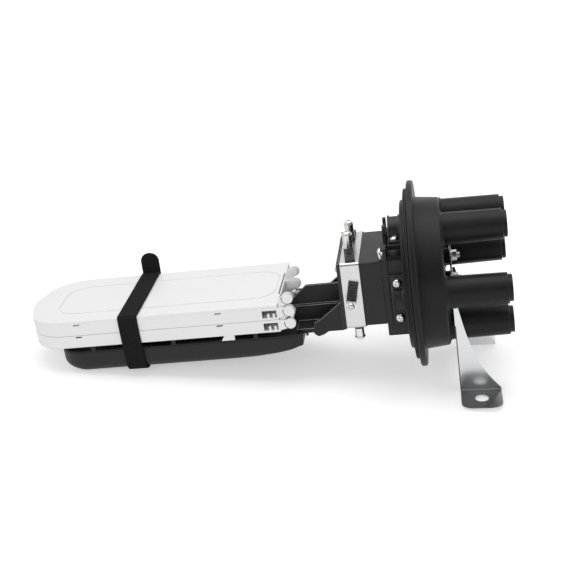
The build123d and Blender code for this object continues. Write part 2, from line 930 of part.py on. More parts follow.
def storage_basket():
    """Fibre storage basket: a deep tray with a rounded end, side posts and a strap groove."""
    height = basket_rim - basket_bottom
    outer_plan = rounded_end_plan(basket_half_width, basket_left, basket_right, basket_corner, 2.0)
    inner_plan = offset(outer_plan, -basket_wall)
    outer = Pos(0, 0, basket_bottom) * extrude(outer_plan, amount=height)
    outer = outer & along_y(basket_side(0.0), -basket_half_width - 1, basket_half_width + 1)
    outer = outer & basket_section(0.0)
    inner = Pos(0, 0, basket_bottom) * extrude(inner_plan, amount=height + 5)
    inner = inner & along_y(basket_side(basket_wall), -basket_half_width, basket_half_width)
    inner = inner & basket_section(basket_wall)
    basket = outer - inner
    arm_reach = arm_edge_width + 0.4
    ledge_right = basket_right - basket_wall / 2
    basket += block(
        (ledge_right - ledge_length, ledge_right),
        (-ledge_half_width, ledge_half_width),
        (basket_end_bottom - 3.0, arm_floor_bottom),
    )
    basket -= block(
        (arm_left - 0.4, basket_right + 1),
        (-arm_reach, arm_reach),
        (arm_floor_bottom, basket_rim + 20),
    )
    for x in basket_post_places:
        for hand in (-1, 1):
            y = hand * (basket_half_width - basket_wall / 2)
            post_top = lower_tray_level - 0.3
            basket += block(
                (x - basket_post_length / 2, x + basket_post_length / 2),
                (y - basket_wall / 2, y + basket_wall / 2),
                (basket_rim - 1, post_top),
            )
    return basket


def tray_arm():
    """Arm moulding: end plate on the core, floor, hollow beam, upper web and two gussets."""
    plate = block(
        (core_left - arm_plate_thickness, core_left),
        (-core_half_width - core_lip, core_half_width + core_lip),
        (core_bottom - core_lip, core_top + core_lip),
    )
    right = core_left - arm_plate_thickness
    beam_inside = arm_beam_half_width - arm_wall
    plate -= block(
        (right - 1, core_left + 1),
        (-core_half_width + 10, core_half_width - 10),
        (arm_web_top + 6, core_top - core_wall),
    )
    floor = block((arm_left, right), (-arm_edge_width, arm_edge_width), (arm_floor_bottom, arm_floor_top))
    beam = along_y(
        side_face(
            [
                (right, arm_floor_bottom),
                (right, arm_shelf),
                (arm_beam_left + 1.5, arm_shelf),
                (arm_beam_left, arm_shelf - 4.0),
                (arm_left, arm_floor_bottom),
            ]
        ),
        -arm_beam_half_width,
        arm_beam_half_width,
    )
    beam -= block(
        (arm_beam_left - 1, right),
        (-beam_inside, beam_inside),
        (arm_floor_top, arm_shelf - arm_wall),
    )
    web = along_y(
        side_face(
            [
                (right, arm_shelf - 0.5),
                (right, arm_web_top),
                (arm_web_corner, arm_web_top),
                (hinge_x - 0.9, upper_hinge_z - 3.9),
                (arm_beam_left, arm_shelf - 0.5),
            ]
        ),
        arm_web_near,
        arm_web_near + gusset_thickness,
    )
    beam -= block(
        (arm_beam_left - 1, hinge_x + knuckle_radius + 0.8),
        (far_lug - 0.4, far_eye + lug_thickness + 0.4),
        (arm_floor_top, arm_shelf + 1),
    )
    arm = plate + floor + beam + web
    gusset = side_face(
        [
            (right, gusset_top),
            (gusset_nose + 8.2, gusset_top - 18.4),
            (gusset_nose + 1.9, gusset_top - 21.4),
            (gusset_nose, arm_floor_bottom - 0.1),
            (gusset_nose + 1.3, gusset_keel + 2.4),
            (gusset_nose + 4.8, gusset_keel),
            (gusset_nose + 10.4, gusset_keel + 1.6),
            (gusset_nose + 20.8, core_bottom),
            (right, core_bottom),
        ]
    )
    for hand in (-1, 1):
        edge = hand * arm_edge_width
        inner = hand * (arm_edge_width - gusset_thickness)
        arm += along_y(gusset, min(edge, inner), max(edge, inner))
        arm += block(
            (toe_left, toe_right),
            (min(edge, inner), max(edge, inner)),
            (arm_floor_bottom - 3.0, arm_floor_bottom + 1),
        )
    bore = rod_y(
        hinge_pin_radius + hinge_clearance,
        -arm_beam_half_width - 1,
        arm_beam_half_width + 1,
        hinge_x,
        lower_hinge_z,
    )
    return arm - bore


def arm_screws():
    """Screws that hold the arm's plate to the core's end."""
    screws = []
    for y in (-arm_screw_y, arm_screw_y):
        for z in (core_bottom + arm_screw_inset, core_top - arm_screw_inset):
            head = Pos(core_left - arm_plate_thickness, y, z) * Rot(0, -90, 0)
            screws.append(head * pan_head(arm_screw_head_radius, arm_screw_head_height))
    return screws


def strap():
    """Strap wrapped round trays and basket, with its free end standing up behind."""
    inner_side = tray_half_width + strap_gap
    inner_top = lid_top + strap_gap
    inner_bottom = basket_bottom - strap_gap
    low_corner = basket_edge_radius + inner_side - basket_half_width
    outline = (
        Line((inner_side, inner_top), (inner_side, inner_bottom + low_corner))
        + JernArc((inner_side, inner_bottom + low_corner), (0, -1), low_corner, -90)
        + Line((inner_side - low_corner, inner_bottom), (low_corner - inner_side, inner_bottom))
        + JernArc((low_corner - inner_side, inner_bottom), (-1, 0), low_corner, -90)
        + Line((-inner_side, inner_bottom + low_corner), (-inner_side, inner_top))
        + Line((-inner_side, inner_top), (inner_side, inner_top))
    )
    face = make_face(outline)
    band = offset(face, strap_thickness) - face
    ring = extrude(across(band, strap_x - strap_width / 2), amount=strap_width, dir=(1, 0, 0))
    tail = block(
        (strap_x - strap_width / 2, strap_x + strap_width / 2),
        (inner_side, inner_side + strap_thickness),
        (inner_top, inner_top + strap_tail_height),
    )
    ends = tail.edges().filter_by(Axis.Y).sort_by(Axis.Z)[-2:]
    tail = fillet(ends, strap_width / 2 - 0.8)
    return ring + tail


def set_down(shape):
    """Tips a drawn shape into the pose it rests in, before the origin is moved."""
    return Rot(0, -rest_tilt, 0) * shape


drawn = {
    "base_body": base_body(),
    "base_seal": base_seal(),
    "core_box": core_box(),
    "clamp_carrier": clamp_carrier(),
    "strength_band": strength_band(),
    "earth_screw": earth_screw(),
    "mounting_bracket": mounting_bracket(),
    "bracket_bolts": bracket_bolts(),
    "bracket_washers": bracket_washers(),
    "bracket_nuts": bracket_nuts(),
    "tray_arm": tray_arm(),
    "arm_screws": arm_screws(),
    "storage_basket": storage_basket(),
    "lower_hinge_pin": lower_hinge_pin(),
    "upper_hinge_pins": upper_hinge_pins(),
    "lower_tray": tray_shell(lower_tray_level, False),
    "upper_tray": tray_shell(upper_tray_level, True),
    "lower_splice_holder": splice_holder(lower_tray_level),
    "upper_splice_holder": splice_holder(upper_tray_level),
    "tray_lid": tray_lid(),
    "strap": strap(),
}
pillars = []
washers = []
screws = []
for name, (seat, plate_length, height) in member_seats().items():
    drawn["member_clamp_" + name] = seat * member_plate(plate_length)
    pillars.append(seat * member_pillar(height))
    washers.append(seat * member_washer(height))
    screws.append(seat * member_screw(height))
drawn["member_pillars"] = pillars
drawn["member_washers"] = washers
drawn["member_screws"] = screws

clamp_screws = []
for name, seat in clamp_seats().items():
    rise = top_clamp_rise if name == "top" else clamp_saddle_radius + clamp_bar_thickness
    drawn["cable_clamp_" + name] = seat * cable_clamp(rise)
    for hand in (-1, 1):
        clamp_screws.append(seat * Pos(0, hand * clamp_screw_pitch / 2, 0) * clamp_screw())
drawn["cable_clamp_screws"] = clamp_screws

rested = {}
for name, shape in drawn.items():
    if isinstance(shape, list):
        shape = Compound(children=shape)
    rested[name] = set_down(shape)
boxes = [shape.bounding_box() for shape in rested.values()]
middle_x = (min(b.min.X for b in boxes) + max(b.max.X for b in boxes)) / 2
middle_y = (min(b.min.Y for b in boxes) + max(b.max.Y for b in boxes)) / 2
lowest = min(b.min.Z for b in boxes)
for name, shape in rested.items():
    export_step(Pos(-middle_x, -middle_y, -lowest) * shape, "parts/" + name + ".step")
print("flange centre stands at", round(-middle_x, 3), round(-middle_y, 3), round(-lowest, 3))
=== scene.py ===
import bpy
import json
import math
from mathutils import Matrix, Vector, noise


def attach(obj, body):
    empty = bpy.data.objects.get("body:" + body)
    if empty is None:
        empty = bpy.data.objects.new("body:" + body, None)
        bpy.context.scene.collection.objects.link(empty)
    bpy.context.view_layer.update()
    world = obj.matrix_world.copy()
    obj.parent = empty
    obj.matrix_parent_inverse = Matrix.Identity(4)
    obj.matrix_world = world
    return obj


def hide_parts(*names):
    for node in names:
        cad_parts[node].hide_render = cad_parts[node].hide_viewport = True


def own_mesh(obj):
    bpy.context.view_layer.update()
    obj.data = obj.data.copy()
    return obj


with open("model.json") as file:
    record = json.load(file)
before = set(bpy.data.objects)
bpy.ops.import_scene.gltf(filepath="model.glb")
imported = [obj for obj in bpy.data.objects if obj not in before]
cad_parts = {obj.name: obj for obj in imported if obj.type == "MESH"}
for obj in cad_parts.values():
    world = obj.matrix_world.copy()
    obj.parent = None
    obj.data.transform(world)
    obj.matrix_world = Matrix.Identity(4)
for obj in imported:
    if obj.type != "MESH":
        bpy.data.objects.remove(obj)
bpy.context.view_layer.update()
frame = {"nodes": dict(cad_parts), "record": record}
nodes = frame["nodes"]

# Base with its cable ports: one black moulding in a tough plastic, with the stepped flange, the cup
# and six blind ports in one piece. Its skin is finely grained and matt, with a little painted highlight
# on its upward edges.


def make_grain_group():
    """Grain of a moulded or rolled surface: a fine height and a slow, cloudy mask."""
    group = bpy.data.node_groups.new("moulded_grain", "ShaderNodeTree")
    face = group.interface
    for name, value in (("Fine Scale", 1800.0), ("Cloud Scale", 40.0), ("Stretch", 1.0)):
        socket = face.new_socket(name=name, in_out="INPUT", socket_type="NodeSocketFloat")
        socket.default_value = value
    face.new_socket(name="Height", in_out="OUTPUT", socket_type="NodeSocketFloat")
    face.new_socket(name="Cloud", in_out="OUTPUT", socket_type="NodeSocketFloat")
    entry = group.nodes.new("NodeGroupInput")
    out = group.nodes.new("NodeGroupOutput")
    place = group.nodes.new("ShaderNodeTexCoord")
    stretch = group.nodes.new("ShaderNodeCombineXYZ")
    scaled = group.nodes.new("ShaderNodeVectorMath")
    scaled.operation = "MULTIPLY"
    stretch.inputs["Y"].default_value = 1.0
    stretch.inputs["Z"].default_value = 1.0
    fine = group.nodes.new("ShaderNodeTexNoise")
    fine.inputs["Detail"].default_value = 4.0
    fine.inputs["Roughness"].default_value = 0.65
    cloud = group.nodes.new("ShaderNodeTexNoise")
    cloud.inputs["Detail"].default_value = 5.0
    group.links.new(entry.outputs["Stretch"], stretch.inputs["X"])
    group.links.new(place.outputs["Object"], scaled.inputs[0])
    group.links.new(stretch.outputs[0], scaled.inputs[1])
    group.links.new(scaled.outputs[0], fine.inputs["Vector"])
    group.links.new(place.outputs["Object"], cloud.inputs["Vector"])
    group.links.new(entry.outputs["Fine Scale"], fine.inputs["Scale"])
    group.links.new(entry.outputs["Cloud Scale"], cloud.inputs["Scale"])
    group.links.new(fine.outputs["Fac"], out.inputs["Height"])
    group.links.new(cloud.outputs["Fac"], out.inputs["Cloud"])
    return group


def add_range(tree, from_ends, to_ends=(0.0, 1.0)):
    """A node that carries one range of values over to another."""
    node = tree.nodes.new("ShaderNodeMapRange")
    node.inputs["From Min"].default_value = from_ends[0]
    node.inputs["From Max"].default_value = from_ends[1]
    node.inputs["To Min"].default_value = to_ends[0]
    node.inputs["To Max"].default_value = to_ends[1]
    return node


def add_math(tree, operation):
    """A plain maths node."""
    node = tree.nodes.new("ShaderNodeMath")
    node.operation = operation
    return node


def make_edge_group():
    """Edges of a moulding or a folded sheet: a small round, and a mask where they face up to the
    light, which carries a painted highlight.
    """
    default_round = 0.0006
    edge_match = (0.995, 0.8)
    facing_up = (-0.1, 0.6)
    facing_share = (0.15, 1.0)
    group = bpy.data.node_groups.new("soft_edges", "ShaderNodeTree")
    face = group.interface
    socket = face.new_socket(name="Radius", in_out="INPUT", socket_type="NodeSocketFloat")
    socket.default_value = default_round
    face.new_socket(name="Normal", in_out="OUTPUT", socket_type="NodeSocketVector")
    face.new_socket(name="Edge", in_out="OUTPUT", socket_type="NodeSocketFloat")
    entry = group.nodes.new("NodeGroupInput")
    out = group.nodes.new("NodeGroupOutput")
    bevel = group.nodes.new("ShaderNodeBevel")
    bevel.samples = 6
    flat = group.nodes.new("ShaderNodeNewGeometry")
    match = group.nodes.new("ShaderNodeVectorMath")
    match.operation = "DOT_PRODUCT"
    mark = add_range(group, edge_match)
    parts = group.nodes.new("ShaderNodeSeparateXYZ")
    facing = add_range(group, facing_up, facing_share)
    lit = add_math(group, "MULTIPLY")
    group.links.new(entry.outputs["Radius"], bevel.inputs["Radius"])
    group.links.new(bevel.outputs["Normal"], match.inputs[0])
    group.links.new(flat.outputs["Normal"], match.inputs[1])
    group.links.new(match.outputs["Value"], mark.inputs["Value"])
    group.links.new(bevel.outputs["Normal"], out.inputs["Normal"])
    group.links.new(bevel.outputs["Normal"], parts.inputs[0])
    group.links.new(parts.outputs["Z"], facing.inputs["Value"])
    # Painted highlight mask: the edges, weighted by how far they face up to the overhead light.
    group.links.new(mark.outputs["Result"], lit.inputs[0])
    group.links.new(facing.outputs["Result"], lit.inputs[1])
    group.links.new(lit.outputs[0], out.inputs["Edge"])
    return group


moulded_grain = make_grain_group()
soft_edges = make_edge_group()
cloud_span = (0.3, 0.7)


def finish_material(name, dark, light, rough, grain, cloud=40.0, bump=0.1, edge=0.0006,
                    edge_highlight_color=None, metallic=0.0, stretch=1.0, depth_mm=0.04, shine=0.5):
    """A finish made of the grain and edge groups: colours between dark and light, a range of
    roughness, a bump of the fine grain and the colour of the painted highlight on edges that face up."""
    material = bpy.data.materials.new(name)
    material.use_nodes = True
    tree = material.node_tree
    shader = tree.nodes["Principled BSDF"]
    shader.inputs["Metallic"].default_value = metallic
    shader.inputs["Specular IOR Level"].default_value = shine
    texture = tree.nodes.new("ShaderNodeGroup")
    texture.node_tree = moulded_grain
    texture.inputs["Fine Scale"].default_value = grain
    texture.inputs["Cloud Scale"].default_value = cloud
    texture.inputs["Stretch"].default_value = stretch
    edges = tree.nodes.new("ShaderNodeGroup")
    edges.node_tree = soft_edges
    edges.inputs["Radius"].default_value = edge
    tone = tree.nodes.new("ShaderNodeMix")
    tone.data_type = "RGBA"
    tone.inputs["A"].default_value = (*dark, 1.0)
    tone.inputs["B"].default_value = (*light, 1.0)
    # Painted highlight: where edges face up, the colour is mixed towards the given edge colour.
    edge_highlight = tree.nodes.new("ShaderNodeMix")
    edge_highlight.data_type = "RGBA"
    edge_highlight.inputs["B"].default_value = (*(edge_highlight_color or light), 1.0)
    gloss = add_range(tree, cloud_span, rough)
    relief = tree.nodes.new("ShaderNodeBump")
    relief.inputs["Strength"].default_value = bump
    relief.inputs["Distance"].default_value = depth_mm / 1000.0
    tree.links.new(texture.outputs["Cloud"], tone.inputs["Factor"])
    tree.links.new(tone.outputs["Result"], edge_highlight.inputs["A"])
    tree.links.new(edges.outputs["Edge"], edge_highlight.inputs["Factor"])
    tree.links.new(edge_highlight.outputs["Result"], shader.inputs["Base Color"])
    tree.links.new(texture.outputs["Cloud"], gloss.inputs["Value"])
    tree.links.new(gloss.outputs["Result"], shader.inputs["Roughness"])
    tree.links.new(texture.outputs["Height"], relief.inputs["Height"])
    tree.links.new(edges.outputs["Normal"], relief.inputs["Normal"])
    tree.links.new(relief.outputs["Normal"], shader.inputs["Normal"])
    return material


def dress(material, *names):
    """Gives the named CAD nodes a finish."""
    for name in names:
        piece = nodes[name]
        if not piece.data.materials:
            piece.data.materials.append(material)
        for place in piece.material_slots:
            place.material = material


# Its edge colour is a painted highlight on the edges that face up.
base_plastic = finish_material(
    "base_plastic", (0.008, 0.008, 0.008), (0.013, 0.013, 0.013), (0.36, 0.48), 1500.0,
    bump=0.35, edge=0.0008, edge_highlight_color=(0.06, 0.06, 0.06), shine=0.18,
)
dress(base_plastic, "base_body")

# Seal ring: soft black rubber with a round section, stretched over the flange's step and seated in
# the groove there, where the dome will press on it.
seal_rubber = finish_material(
    "seal_rubber", (0.008, 0.008, 0.008), (0.014, 0.014, 0.014), (0.5, 0.62), 900.0, bump=0.2,
)
dress(seal_rubber, "base_seal")

# Core: the rectangular duct and the clamp carrier beside the base, two black mouldings with a
# smoother skin than the base. The carrier has a block for the top clamp and two horns on its lug.
rest_tilt = math.radians(7.85)
mounts = {m["name"]: m for m in frame["record"]["mounts"]}
flange_middle = Vector(mounts["flange_centre"]["pos_m"])
along = Vector((math.cos(rest_tilt), 0.0, math.sin(rest_tilt)))
upward = Vector((-math.sin(rest_tilt), 0.0, math.cos(rest_tilt)))
depth = Vector((0.0, 1.0, 0.0))
carrier_top = 35.4
clamp_lift = 6.8
horn_bottom = 52.0
horn_top = 62.8
horn_span = (-31.8, -28.3)
carrier_blocks = {
    "clamp_block": ((-27.0, -12.0), (-27.5, 21.5), (carrier_top - 0.1, carrier_top + clamp_lift)),
    "near_horn": (horn_span, (-18.0, -12.2), (horn_bottom, horn_top)),
    "far_horn": (horn_span, (6.2, 12.0), (horn_bottom, horn_top)),
}


def on_axis(a, v, w):
    """A place in the room, given in millimetres along the closure's axis, away from the viewer
    and up from the axis, all from the middle of the flange."""
    return flange_middle + (along * a + depth * v + upward * w) / 1000.0


def place_of(spot):
    """The same three measures of a place in the room."""
    reach = (spot - flange_middle) * 1000.0
    return reach.dot(along), reach.dot(depth), reach.dot(upward)


def new_piece(name, mesh):
    """A piece in the scene with the given mesh."""
    piece = bpy.data.objects.new(name, mesh)
    bpy.context.scene.collection.objects.link(piece)
    return piece


def finish_piece(piece, material, body):
    """Gives a piece its material, and says which body carries it."""
    piece.data.materials.append(material)
    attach(piece, body)


def box_piece(name, span_a, span_v, span_w, lean=0.0):
    """A small block in the closure's own axes, its left side leaning out by lean at the bottom."""
    corners = []
    for w in span_w:
        for v in span_v:
            for a in span_a:
                out = -lean if (w == span_w[0] and a == span_a[0]) else 0.0
                corners.append(on_axis(a + out, v, w))
    sides = [(0, 1, 3, 2), (4, 6, 7, 5), (0, 4, 5, 1), (2, 3, 7, 6), (0, 2, 6, 4), (1, 5, 7, 3)]
    mesh = bpy.data.meshes.new(name)
    mesh.from_pydata(corners, [], sides)
    return new_piece(name, mesh)


# Its edge colour is a painted highlight on the edges that face up.
core_plastic = finish_material(
    "core_plastic", (0.014, 0.014, 0.014), (0.021, 0.021, 0.021), (0.4, 0.5), 1200.0,
    bump=0.2, edge=0.0008, edge_highlight_color=(0.16, 0.16, 0.16), shine=0.27,
)
dress(core_plastic, "core_box", "clamp_carrier")
for name, spans in carrier_blocks.items():
    finish_piece(box_piece(name, *spans), core_plastic, "frame")

# Strength band: a strip of bright steel folded round the duct, with the rolled grain running along
# it. The strength members of the cables are clamped to it.
# Its edge colour is a painted highlight on the edges that face up.
band_steel = finish_material(
    "band_steel", (0.54, 0.54, 0.54), (0.66, 0.66, 0.66), (0.24, 0.34), 900.0, cloud=60.0,
    bump=0.06, edge=0.0006, edge_highlight_color=(0.8, 0.8, 0.8), metallic=1.0, stretch=0.08,
)
dress(band_steel, "strength_band")

# Strength-member clamps: dark grooved plates on the band, each under a turned pillar with a washer
# and a pan-head screw of zinc-plated steel. The pillars are shown a fifth stouter than their solids.
pillar_growth = 1.2
pillar_side_face = 47.0
# Its edge colour is a painted highlight on the edges that face up.
fastener_steel = finish_material(
    "fastener_steel", (0.62, 0.62, 0.61), (0.75, 0.75, 0.74), (0.18, 0.3), 1600.0, cloud=160.0,
    bump=0.08, edge=0.0003, edge_highlight_color=(0.85, 0.85, 0.84), metallic=1.0,
)
# Its edge colour is a painted highlight on the edges that face up.
clamp_plate_finish = finish_material(
    "clamp_plate_finish", (0.02, 0.02, 0.021), (0.035, 0.035, 0.036), (0.4, 0.55), 1400.0,
    bump=0.3, edge=0.0004, edge_highlight_color=(0.07, 0.07, 0.07), shine=0.35,
)
dress(
    clamp_plate_finish, "member_clamp_front", "member_clamp_back", "member_clamp_top_near",
    "member_clamp_top_far", "member_clamp_bottom",
)
dress(fastener_steel, "member_pillars", "member_washers", "member_screws")


def loose_parts(mesh):
    """The number of the connected part that each corner of a mesh belongs to."""
    neighbours = [[] for corner in mesh.vertices]
    for one, two in (edge.vertices for edge in mesh.edges):
        neighbours[one].append(two)
        neighbours[two].append(one)
    part_of = {}
    parts = 0
    for start in range(len(neighbours)):
        if start in part_of:
            continue
        part_of[start] = parts
        waiting = [start]
        while waiting:
            for other in neighbours[waiting.pop()]:
                if other not in part_of:
                    part_of[other] = parts
                    waiting.append(other)
        parts += 1
    return part_of


def part_middles(piece, part_of):
    """The middle of each connected part of a piece, in the closure's own axes."""
    places = {}
    for index, part in part_of.items():
        spot = piece.matrix_world @ piece.data.vertices[index].co
        places.setdefault(part, []).append(place_of(spot))
    middles = {}
    for part, corners in places.items():
        middles[part] = [(min(values) + max(values)) / 2 for values in zip(*corners)]
    return middles


def copied_piece(node, name, change, body):
    """A piece that stands for a CAD node in its form, each corner moved by change(index, a, v, w)."""
    source = nodes[node]
    mesh = source.data.copy()
    mesh.name = name
    for corner in mesh.vertices:
        corner.co = on_axis(*change(corner.index, *place_of(source.matrix_world @ corner.co)))
    piece = new_piece(name, mesh)
    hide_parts(node)
    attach(piece, body)


pillar_part = loose_parts(nodes["member_pillars"].data)
pillar_middles = part_middles(nodes["member_pillars"], pillar_part)


def stouter(index, a, v, w):
    """A pillar's corner, moved out from the pillar's own axis."""
    middle_a, middle_v, middle_w = pillar_middles[pillar_part[index]]
    a = middle_a + (a - middle_a) * pillar_growth
    if abs(middle_v) > pillar_side_face:
        return a, v, middle_w + (w - middle_w) * pillar_growth
    return a, middle_v + (v - middle_v) * pillar_growth, w


copied_piece("member_pillars", "pillar_set", stouter, "frame")

# Cable clamps: coarse-grained black mouldings that press the cables on the carrier, each held by two
# screws. The top one and its screws stand higher, on the carrier's block.
clamp_screws_above = 30.0
# Its edge colour is a painted highlight on the edges that face up.
clamp_plastic = finish_material(
    "clamp_plastic", (0.008, 0.008, 0.008), (0.018, 0.018, 0.018), (0.4, 0.6), 700.0,
    bump=0.5, edge=0.0006, edge_highlight_color=(0.3, 0.3, 0.3), shine=0.35,
)
dress(clamp_plastic, "cable_clamp_front", "cable_clamp_back", "cable_clamp_top", "cable_clamp_bottom")
dress(fastener_steel, "cable_clamp_screws")


def raised(index, a, v, w):
    """A corner of the top clamp or its screws, lifted on to the block."""
    if w > clamp_screws_above:
        w += clamp_lift
    return a, v, w


copied_piece("cable_clamp_top", "top_clamp_moulding", raised, "frame")
copied_piece("cable_clamp_screws", "clamp_screw_set", raised, "frame")

# Earth screw: a long zinc-plated screw along the axis, through the carrier's lug. A black boss, moulded
# on the carrier, sleeves it between the lug and the flange.
sleeve_ends = (-28.2, -12.0)
sleeve_middle = (-43.5, 42.2)
sleeve_radius = 3.1
sleeve_sides = 28
dress(fastener_steel, "earth_screw")


def tube_faces(rings, per_ring):
    """Faces of a closed tube of rings of points, with both its ends capped."""
    faces = []
    for ring in range(rings - 1):
        here = ring * per_ring
        there = here + per_ring
        for place in range(per_ring):
            following = (place + 1) % per_ring
            faces.append((here + place, here + following, there + following, there + place))
    faces.append(tuple(reversed(range(per_ring))))
    faces.append(tuple(range((rings - 1) * per_ring, rings * per_ring)))
    return faces


sleeve_points = []
for a in sleeve_ends:
    for step in range(sleeve_sides):
        turn = 2 * math.pi * step / sleeve_sides
        v = sleeve_middle[0] + sleeve_radius * math.cos(turn)
        w = sleeve_middle[1] + sleeve_radius * math.sin(turn)
        sleeve_points.append(on_axis(a, v, w))
sleeve_mesh = bpy.data.meshes.new("earth_sleeve")
sleeve_mesh.from_pydata(sleeve_points, [], tube_faces(len(sleeve_ends), sleeve_sides))
for face in sleeve_mesh.polygons:
    face.use_smooth = len(face.vertices) == 4
finish_piece(new_piece("earth_sleeve", sleeve_mesh), core_plastic, "frame")

# Tray arm: a black moulding with an even satin skin, fixed to the core's end by four screws. Its
# channel, open at the top, leads the tubes to the trays, and a painted highlight lies on its upward
# edges, the gusset edges too.
# Its edge colour is a painted highlight on the edges that face up.
arm_plastic = finish_material(
    "arm_plastic", (0.009, 0.009, 0.009), (0.015, 0.015, 0.015), (0.42, 0.52), 1300.0,
    bump=0.25, edge=0.0013, edge_highlight_color=(0.5, 0.5, 0.5), shine=0.3,
)
dress(arm_plastic, "tray_arm")
dress(fastener_steel, "arm_screws")

# Storage basket: a deep black moulding with thin walls, its floor rounded into them and swept up to
# the arm, which its right end is cut down for. Small posts on its rim meet the lower tray.
basket_half = 60.5
basket_wall = 2.2
basket_rim = -34.7
basket_left_end = -395.0
basket_right_end = -124.5
basket_corner = 26.0
basket_end_bulge = 1.2
basket_bulge_share = 0.75
basket_floor_line = (
    (-500.0, -61.4), (-200.0, -61.4), (-176.0, -59.2), (-152.0, -55.5), (-138.0, -52.1),
    (-124.4, -46.5), (0.0, -46.5),
)
basket_floor_bend = basket_floor_line[1][0]
basket_floor_round = 15.0
basket_left_sweep = 25.0
basket_last_round = 1.5
basket_right_round = 1.0
basket_least_wall = 0.5
basket_floor_end = -345.0
basket_arm_cut = -131.4
basket_arm_half = 48.1
basket_arm_level = -38.7
basket_end_steps = 24
basket_side_steps = 60
basket_corner_steps = 12
basket_wall_rings = 4
basket_round_rings = 12
# Its edge colour is a painted highlight on the edges that face up.
basket_plastic = finish_material(
    "basket_plastic", (0.012, 0.012, 0.012), (0.02, 0.02, 0.02), (0.42, 0.52), 1300.0,
    bump=0.25, edge=0.0006, edge_highlight_color=(0.1, 0.1, 0.1), shine=0.27,
)


def basket_floor_level(a):
    """Height of the basket's floor at a place along the axis."""
    for one, two in zip(basket_floor_line, basket_floor_line[1:]):
        if one[0] <= a < two[0]:
            share = (a - one[0]) / (two[0] - one[0])
            return one[1] + (two[1] - one[1]) * share
    return basket_floor_line[-1][1]


def basket_plan():
    """Points (a, v, inward a, inward v) round the basket's rim, from the right end's middle."""
    corner = basket_corner
    corner_a = basket_left_end + corner
    corner_v = -basket_half + corner
    points = []
    for index in range(basket_end_steps + 1):
        points.append((basket_right_end, -basket_half * index / basket_end_steps, -1.0, 0.0))
    run = basket_right_end - corner_a
    for index in range(1, basket_side_steps):
        points.append((basket_right_end - run * index / basket_side_steps, -basket_half, 0.0, 1.0))
    for index in range(basket_corner_steps + 1):
        turn = math.pi / 2 * index / basket_corner_steps
        inward = (math.sin(turn), math.cos(turn))
        points.append((corner_a - corner * inward[0], corner_v - corner * inward[1], *inward))
    flat_from = math.cos(math.pi / 2 * basket_bulge_share)
    for index in range(1, basket_end_steps + 1):
        v = corner_v * (1 - index / basket_end_steps)
        bulge = basket_end_bulge * (math.cos(math.pi / 2 * v / basket_half) - flat_from)
        points.append((basket_left_end - max(0.0, bulge), v, 1.0, 0.0))
    mirrored = [(a, -v, x, -y) for a, v, x, y in points[1:-1]]
    return points + list(reversed(mirrored))


def basket_rounds(a, inward_a, height):
    """Height and width of the round between wall and floor at a point of the plan."""
    high = basket_floor_round
    wide = high + (basket_left_sweep - high) * max(0.0, inward_a)
    if a > basket_floor_bend:
        share = (a - basket_floor_bend) / (basket_right_end - basket_floor_bend)
        high += (basket_last_round - high) * share
        wide = high
    if inward_a < -0.5:
        high = basket_right_round
        wide = basket_right_round
    return min(high, height - basket_least_wall), wide


basket_points = []
basket_edges = []
plan_points = basket_plan()
for a, v, inward_a, inward_v in plan_points:
    rim = basket_rim
    if a > basket_arm_cut and abs(v) < basket_arm_half:
        rim = basket_arm_level
    low = basket_floor_level(a)
    high, wide = basket_rounds(a, inward_a, rim - low)
    profile = []
    for ring in range(basket_wall_rings + 1):
        profile.append((0.0, rim + (low + high - rim) * ring / basket_wall_rings))
    for ring in range(1, basket_round_rings + 1):
        turn = math.pi / 2 * ring / basket_round_rings
        profile.append((wide * (1 - math.cos(turn)), low + high - high * math.sin(turn)))
    for sink, level in profile:
        basket_points.append(on_axis(a + inward_a * sink, v + inward_v * sink, level))
    basket_edges.append(place_of(basket_points[-1]))
rings = basket_wall_rings + basket_round_rings
column = rings + 1
floor_start = len(basket_points)
for edge_a, edge_v, edge_w in basket_edges:
    basket_points.append(on_axis(max(edge_a, basket_floor_end), 0.0, edge_w))
basket_faces = []
for index in range(len(plan_points)):
    following = (index + 1) % len(plan_points)
    here = index * column
    there = following * column
    for ring in range(rings):
        basket_faces.append((here + ring, there + ring, there + ring + 1, here + ring + 1))
for index in range(len(plan_points)):
    following = (index + 1) % len(plan_points)
    basket_faces.append(
        (
            index * column + rings, following * column + rings,
            floor_start + following, floor_start + index,
        )
    )
basket_mesh = bpy.data.meshes.new("basket_shell")
basket_mesh.from_pydata(basket_points, [], basket_faces)
basket_mesh.validate()
for face in basket_mesh.polygons:
    face.use_smooth = True
basket_shell = new_piece("basket_shell", basket_mesh)
thicken = basket_shell.modifiers.new("wall", "SOLIDIFY")
thicken.thickness = basket_wall / 1000
thicken.offset = -1.0
dress(basket_plastic, "storage_basket")
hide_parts("storage_basket")
finish_piece(basket_shell, basket_plastic, "frame")


def wall_span(outer, inner, hand):
    """The span across the closure between two faces of a wall, on the near or the far side."""
    return min(hand * outer, hand * inner), max(hand * outer, hand * inner)


both_sides = (("near", -1), ("far", 1))
post_places = (-353.5, -264.0, -174.0)
post_half = 2.2
post_faces = (basket_half - 0.1, basket_half - basket_wall)
post_levels = (basket_rim - 1.5, -28.8)
for number, spot in enumerate(post_places):
    for side, hand in both_sides:
        post = box_piece(
            f"basket_post_{side}_{number}", (spot - post_half, spot + post_half),
            wall_span(*post_faces, hand), post_levels,
        )
        finish_piece(post, basket_plastic, "frame")

# Splice trays and lid: white mouldings, smooth with a faint orange peel, hinged at the arm. The lid
# snaps on the upper tray, and small catches under the lower one meet the basket's rim.
tray_reach = 2.8
tray_round_start = -374.0
tray_round_length = 50.0
catch_span = (-207.4, -196.6)
catch_faces = (61.3, 58.6)
catch_levels = (-34.1, -28.3)
catch_lean = 3.6
